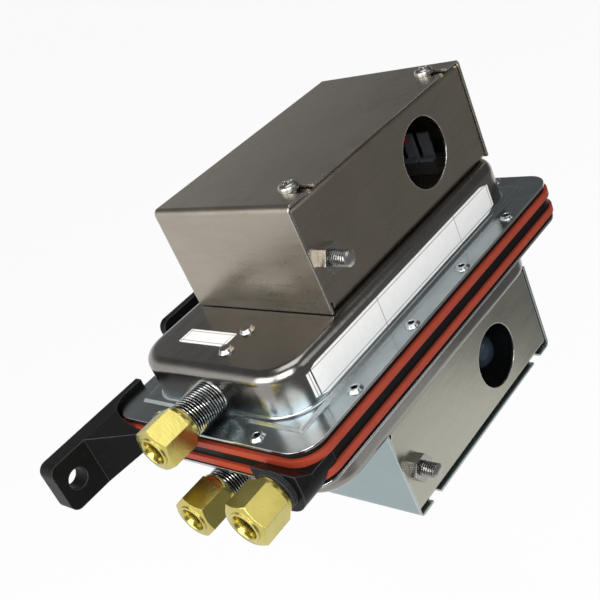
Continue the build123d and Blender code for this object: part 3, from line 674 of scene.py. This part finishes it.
for side, sign in SIDES:
    node = f"{side}_cover_screws"
    low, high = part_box(node)
    cover_low, cover_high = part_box(f"{side}_enclosure_cover")
    seat = cover_high[2] if sign > 0 else cover_low[2]
    shank_length = (seat - low[2] if sign > 0 else high[2] - seat) / MM
    y = (low[1] + high[1]) / 2
    screw_places = (low[0] + WASHER_RADIUS * MM, high[0] - WASHER_RADIUS * MM)
    heads = [crossed_head(Vector((x, y, seat)), sign, shank_length) for x in screw_places]
    points, faces = joined(heads)
    screws = mesh_piece(f"{side}_crossed_cover_screws", points, faces, zinc_screw,
                        "switch", "zinc_screw")
    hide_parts(node)
    print(screws.name, "faces", len(screws.data.polygons))

# %% [markdown]
# ## Labels
# The upper dome carries a long paper label on its front wall, and each dome a small one on
# the end of its top. A thin frame is printed on each, and two rules divide the long one. An
# image could hold the print, but lines this simple are easier to keep as a mask in the
# material, worked out from the label's own place. The paper itself is a thin sheet with
# real thickness and rounded corners, so its edge catches light.

# %% Make the label paper
PALE_PAPER, BRIGHT_PAPER, PRINT_GREY = (0.82, 0.82, 0.80), (0.92, 0.92, 0.91), (0.10, 0.10, 0.11)
FRAME_INSET, FRAME_HALF, RULE_HALF = 0.9 * MM, 0.14 * MM, 0.13 * MM


def label_finish(name, low, high, axes, rules):
    """White paper with a thin grey frame, and rules at fixed distances along the label."""
    made = Finish(name, Metallic=0.0)
    lines = [made.coordinate(axes[0]).near(rule, RULE_HALF) for rule in rules]
    for axis, first, last in zip(axes, low, high):
        along = made.coordinate(axis)
        to_edge = made.node("ShaderNodeMath", {"operation": "MINIMUM"},
                            {0: along - first, 1: last - along})
        lines.append(to_edge.near(FRAME_INSET, FRAME_HALF))
    printed = sum(lines).limited()
    fibres = made.noise(500, 4)
    paper = made.blend(fibres, PALE_PAPER, BRIGHT_PAPER)
    made.feed("Base Color", made.blend(printed * 0.75, paper, PRINT_GREY))
    made.feed("Roughness", 0.38 + fibres * 0.2)
    made.relief(fibres, 0.02 * MM)
    return made.material


print("paper ready")


# %% Cut the long label of the front wall
DOME_END, DOME_SIDE, DOME_CORNER, DOME_TOP = 61.3, 32.4, 12.0, 21.8
FRONT_X, FRONT_Z, FRONT_CORNER, FRONT_COLUMNS = (-52.4, 47.7), (8.2, 18.1), 1.2, 24
FRONT_RULES = (-18, 26)
GLUE, PAPER = 0.03, 0.12


def dome_wall(x):
    """Y of the dome's front wall, which turns back round its corner at the ends."""
    past = max(0.0, abs(x) - (DOME_END - DOME_CORNER))
    return -DOME_SIDE + DOME_CORNER - math.sqrt(DOME_CORNER ** 2 - past ** 2)


def corner_cut(x):
    """How far a rounded corner takes the label in at one place along it."""
    edge = min(x - FRONT_X[0], FRONT_X[1] - x, FRONT_CORNER)
    return FRONT_CORNER - math.sqrt(max(0.0, FRONT_CORNER ** 2 - (FRONT_CORNER - edge) ** 2))


def front_label(name, material):
    """A strip of paper bent along the wall, with its corners cut round."""
    points, faces = [], []
    for layer in (GLUE, GLUE + PAPER):
        for step in range(FRONT_COLUMNS + 1):
            x = FRONT_X[0] + (FRONT_X[1] - FRONT_X[0]) * step / FRONT_COLUMNS
            cut = FRONT_CORNER if step in (0, FRONT_COLUMNS) else corner_cut(x)
            for z in (FRONT_Z[0] + cut, FRONT_Z[1] - cut):
                points.append(spot(x, dome_wall(x) - layer, z))
    layer_size = 2 * (FRONT_COLUMNS + 1)
    for step in range(FRONT_COLUMNS):
        a = 2 * step
        faces.append((a, a + 1, a + 3, a + 2))
        faces.append(tuple(layer_size + i for i in (a, a + 2, a + 3, a + 1)))
        faces.append((a, a + 2, layer_size + a + 2, layer_size + a))
        faces.append((a + 1, layer_size + a + 1, layer_size + a + 3, a + 3))
    last = 2 * FRONT_COLUMNS
    faces.append((0, layer_size, layer_size + 1, 1))
    faces.append((last, last + 1, layer_size + last + 1, layer_size + last))
    return mesh_piece(name, points, faces, material, "switch", None)


low, high = spot(FRONT_X[0], 0, FRONT_Z[0]), spot(FRONT_X[1], 0, FRONT_Z[1])
paper = label_finish("front_label_paper", (low.x, low.z), (high.x, high.z), (0, 2),
                     [spot(x, 0, 0).x for x in FRONT_RULES])
front = front_label("upper_front_label", paper)
print(front.name, "faces", len(front.data.polygons))


# %% Cut the small labels of the tops
TOP_LABEL = (-50.5, -0.5, -44.3, 19.9)
TOP_CORNER, TOP_GLUE = 0.5, 0.02


def rounded_outline(x0, y0, x1, y1, radius, steps=5):
    """Corner points of a rounded rectangle, as pairs."""
    outline = []
    corners = ((x1, y1, 0), (x0, y1, 1), (x0, y0, 2), (x1, y0, 3))
    for x, y, quarter in corners:
        cx = x - radius if quarter in (0, 3) else x + radius
        cy = y - radius if quarter in (0, 1) else y + radius
        for step in range(steps + 1):
            angle = math.pi / 2 * (quarter + step / steps)
            outline.append((cx + radius * math.cos(angle), cy + radius * math.sin(angle)))
    return outline


def top_label(name, sign, material):
    """A thin plate over a rounded outline, built as two matching loops."""
    outline = rounded_outline(*TOP_LABEL, TOP_CORNER)
    count = len(outline)
    points = [spot(x, y, sign * (DOME_TOP + TOP_GLUE)) for x, y in outline]
    points += [p + Vector((0, 0, sign * PAPER * MM)) for p in points]
    faces = [tuple(range(count)), tuple(range(count, 2 * count))]
    faces += [(i, (i + 1) % count, count + (i + 1) % count, count + i) for i in range(count)]
    return mesh_piece(name, points, faces, material, "switch", None, smooth=False)


low, high = spot(*TOP_LABEL[:2], 0), spot(*TOP_LABEL[2:], 0)
for side, sign in SIDES:
    paper = label_finish(f"{side}_top_label_paper", (low.x, low.y), (high.x, high.y), (0, 1), ())
    top = top_label(f"{side}_top_label", sign, paper)
    print(top.name, "faces", len(top.data.polygons))

# %% [markdown]
# ## Terminals and wires inside the boxes
# Through each conduit hole the real switch shows grey terminal tabs in the dark, near the
# far end of the box. They are thin stampings on a moulded strip, so plain blocks with
# rounded normals are enough, and short wires run from them to the snap switch. A curve
# with a round bevel is the simplest wire, and stays easy to bend.

# %% Finishes for what is inside the boxes
# Painted shade: the tinned tabs are given a dark grey, as they sit in the shade inside the box.
tab_painted_shade = Finish("tinned_tab_painted_shade", Metallic=0.35)
tab_noise = tab_painted_shade.noise(300, 3)
tab_painted_shade.feed("Base Color", tab_painted_shade.blend(tab_noise, (0.07, 0.075, 0.085), (0.13, 0.14, 0.155)))
tab_painted_shade.feed("Roughness", 0.40 + tab_noise * 0.2)
tab_painted_shade.relief(tab_noise, 0.04 * MM, 0.2 * MM)
red_wire = moulded_finish("red_wire_jacket", (0.30, 0.035, 0.02), (0.20, 0.02, 0.015),
                          0.40, 900, 0.03 * MM)
blue_wire = moulded_finish("blue_wire_jacket", (0.05, 0.09, 0.20), (0.03, 0.06, 0.14),
                           0.40, 900, 0.03 * MM)
cap_shade = moulded_finish("blue_grey_cap", (0.028, 0.046, 0.062), (0.018, 0.030, 0.042),
                           0.25, 600, 0.03 * MM, shine=0.4)
print("inner finishes ready")


# %% Terminal strip and tabs
STRIP_X, STRIP_Y, STRIP_Z = (45.4, 53.2), (-17, 11), (22.7, 27.0)
TAB_PLACES = (-13.0, -6.5, 0.0)
TAB_X, TAB_HALF, TAB_TOP = (48.8, 49.8), 2.1, 36.5
FOOT_X, FOOT_HALF, FOOT_TOP = 46.4, 2.6, 28.0


def flat_block(x0, y0, z0, x1, y1, z1, sign):
    """A box in stack millimetres, on the upper or the lower side, as points and faces."""
    low, high = spot(x0, y0, sign * z0), spot(x1, y1, sign * z1)
    low.z, high.z = min(low.z, high.z), max(low.z, high.z)
    points = [Vector((x, y, z)) for z in (low.z, high.z) for y in (low.y, high.y) for x in (low.x, high.x)]
    return points, [(0, 1, 3, 2), (4, 6, 7, 5), (0, 4, 5, 1), (2, 3, 7, 6), (0, 2, 6, 4), (1, 5, 7, 3)]


def terminal_pieces(side, sign):
    """The moulded strip of one box, and its three bent tabs as one piece."""
    strip = flat_block(STRIP_X[0], STRIP_Y[0], STRIP_Z[0], STRIP_X[1], STRIP_Y[1], STRIP_Z[1], sign)
    base = mesh_piece(f"{side}_terminal_strip", *strip, phenolic, "switch", "black_phenolic",
                      smooth=False)
    uprights = [flat_block(TAB_X[0], y - TAB_HALF, STRIP_Z[1], TAB_X[1], y + TAB_HALF, TAB_TOP, sign)
                for y in TAB_PLACES]
    feet = [flat_block(FOOT_X, y - FOOT_HALF, STRIP_Z[1], TAB_X[0], y + FOOT_HALF, FOOT_TOP, sign)
            for y in TAB_PLACES]
    tabs = mesh_piece(f"{side}_terminal_tabs", *joined(uprights + feet), tab_painted_shade.material, "switch",
                      "tinned_terminal", smooth=False)
    print(base.name, tabs.name, "tabs", len(TAB_PLACES))


print("terminals can be made")


# %% Wires from the tabs to the snap switch
WIRES = ((TAB_PLACES[1], red_wire, 36.4), (TAB_PLACES[2], blue_wire, 27.5))
WIRE_RADIUS = 0.8 * MM


def wire(name, way, material):
    """A bent wire of round section through the given points."""
    curve = bpy.data.curves.new(name, "CURVE")
    curve.dimensions = "3D"
    curve.bevel_depth = WIRE_RADIUS
    curve.bevel_resolution = 4
    curve.use_fill_caps = True
    spline = curve.splines.new("NURBS")
    spline.points.add(len(way) - 1)
    for point, bend in zip(spline.points, way):
        point.co = (*bend, 1)
    spline.order_u = 3
    spline.use_endpoint_u = True
    curve.materials.append(material)
    made = bpy.data.objects.new(name, curve)
    bpy.context.scene.collection.objects.link(made)
    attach(made, "switch")
    return made


for side, sign in SIDES:
    terminal_pieces(side, sign)
    for y, jacket, terminal in WIRES:
        way = [spot(48.0, y, sign * 34), spot(45.6, y, sign * 40), spot(42.6, y * 0.6, sign * 50),
               spot(terminal + 2, 0.6, sign * 54), spot(terminal, 0, sign * 50)]
        laid = wire(f"{side}_{jacket.name}", way, jacket)
        print(laid.name, "bends", len(way))


# %% [markdown]
# Behind the lower hole the photograph shows something round and blue-grey. It is taken for
# the plastic cap over a wire joint. A short turned section with a rounded end gives it.

# %% A cap over the wire joint in the lower box
CAP_PROFILE = ((0.0, 0.8), (0.3, 2.4), (1.1, 4.2), (2.6, 5.6), (4.6, 6.3), (7.0, 6.6), (12.0, 6.6))
cap_shell = turned_shell(spot(35.0, -21.0, -43.5), Vector((0, 1, 0)), CAP_PROFILE, 36, hollow=False)
wire_cap = mesh_piece("lower_wire_cap", *cap_shell, cap_shade, "switch", None)
print(wire_cap.name, "ready")

# %% [markdown]
# ## Light
# The photograph has a white ground that sweeps up behind the object, and a darker room in
# front of it and above, so the ends of the boxes are pale and their long sides dark. The
# world and the floor are white behind and to the left, and grey in front. Bare metal shows
# that same background. Three soft lamps light what is not metal, and a small card gives the
# flats of the brass nuts something to show.

# %% The world
SWEEP = (-0.35, 0.45, -1.20)
ROOM_END, SWEEP_START, ROOM_LEVEL = -0.42, 0.25, 0.13
world = bpy.data.worlds.new("studio")
bpy.context.scene.world = world
world.use_nodes = True
sky = Nodes(world.node_tree)
direction = sky.node("ShaderNodeTexCoord", output="Generated")
towards_sweep = sky.node("ShaderNodeVectorMath", {"operation": "DOT_PRODUCT"},
                         {0: direction, 1: SWEEP}, "Value")
level = sky.node("ShaderNodeMapRange", {"interpolation_type": "SMOOTHSTEP"},
                 {0: towards_sweep, 1: ROOM_END, 2: SWEEP_START, 3: ROOM_LEVEL, 4: 1.0})
studio = sky.tree.nodes["Background"]
studio.inputs["Color"].default_value = (1, 1, 1, 1)
sky.tree.links.new(level.socket, studio.inputs["Strength"])
print("world nodes:", len(sky.tree.nodes))


# %% The lamps
def soft_lamp(name, place_mm, target_mm, size, watts):
    """An area lamp that looks at a target, both given in stack millimetres."""
    lamp = bpy.data.lights.new(name, "AREA")
    lamp.shape = "RECTANGLE"
    lamp.size, lamp.size_y = size
    lamp.energy = watts
    placed = bpy.data.objects.new(name, lamp)
    bpy.context.scene.collection.objects.link(placed)
    placed.location = spot(*place_mm)
    away = spot(*target_mm) - placed.location
    placed.rotation_euler = away.to_track_quat("-Z", "Y").to_euler()
    return placed


soft_lamp("left_softbox", (-520, 60, 260), (0, 0, 0), (0.5, 0.35), 2.4)
soft_lamp("top_softbox", (60, -60, 620), (0, 0, 0), (0.4, 0.4), 1.2)
soft_lamp("camera_softbox", (-400, -430, 330), (20, 0, 10), (0.45, 0.45), 3.6)
soft_lamp("nut_card", (156, -506, 242), (-88, -20, -10), (0.3, 0.3), 0.32)
print("lamps:", len(bpy.data.lights))

# %% The floor
FLOOR_DROP, FLOOR_REACH = -0.16, 8
DARK_SHARE, CAMERA_SHARE = 0.78, 0.94
floor_finish = Finish("pale_floor", Roughness=0.9, Base_Color=(0.9, 0.9, 0.9, 1))
floor_x, floor_y = floor_finish.coordinate(0), floor_finish.coordinate(1)
dark_front = 1 - floor_finish.fading(floor_y, -0.28, -0.215)
dark_right = floor_finish.fading(floor_x, 0.135, 0.185) * (1 - floor_finish.fading(floor_y, -0.15, -0.10))
pale = 1 - (dark_front + dark_right).limited() * DARK_SHARE
glow = floor_finish.node("ShaderNodeEmission", None,
                         {0: floor_finish.blend(pale, (0, 0, 0), (1, 1, 1)), 1: 1.0})
camera_ray, glossy_ray, transmission_ray = (
    floor_finish.node("ShaderNodeLightPath", output=f"Is {kind} Ray")
    for kind in ("Camera", "Glossy", "Transmission"))
shows_background = (camera_ray * CAMERA_SHARE + glossy_ray + transmission_ray).limited()
shaded = Signal(floor_finish, floor_finish.shader.outputs[0])
mixed = floor_finish.node("ShaderNodeMixShader", None, {0: shows_background, 1: shaded, 2: glow})
floor_output = floor_finish.tree.nodes["Material Output"]
floor_finish.tree.links.new(mixed.socket, floor_output.inputs["Surface"])
floor_mesh = bpy.data.meshes.new("floor")
floor_corners = [(x * FLOOR_REACH, y * FLOOR_REACH, FLOOR_DROP)
                 for x, y in ((-1, -1), (1, -1), (1, 1), (-1, 1))]
floor_mesh.from_pydata(floor_corners, [], [(0, 1, 2, 3)])
floor_mesh.materials.append(floor_finish.material)
floor = bpy.data.objects.new("floor", floor_mesh)
bpy.context.scene.collection.objects.link(floor)
bpy.context.scene.view_settings.view_transform = "Standard"
print("floor drop", FLOOR_DROP, "m")
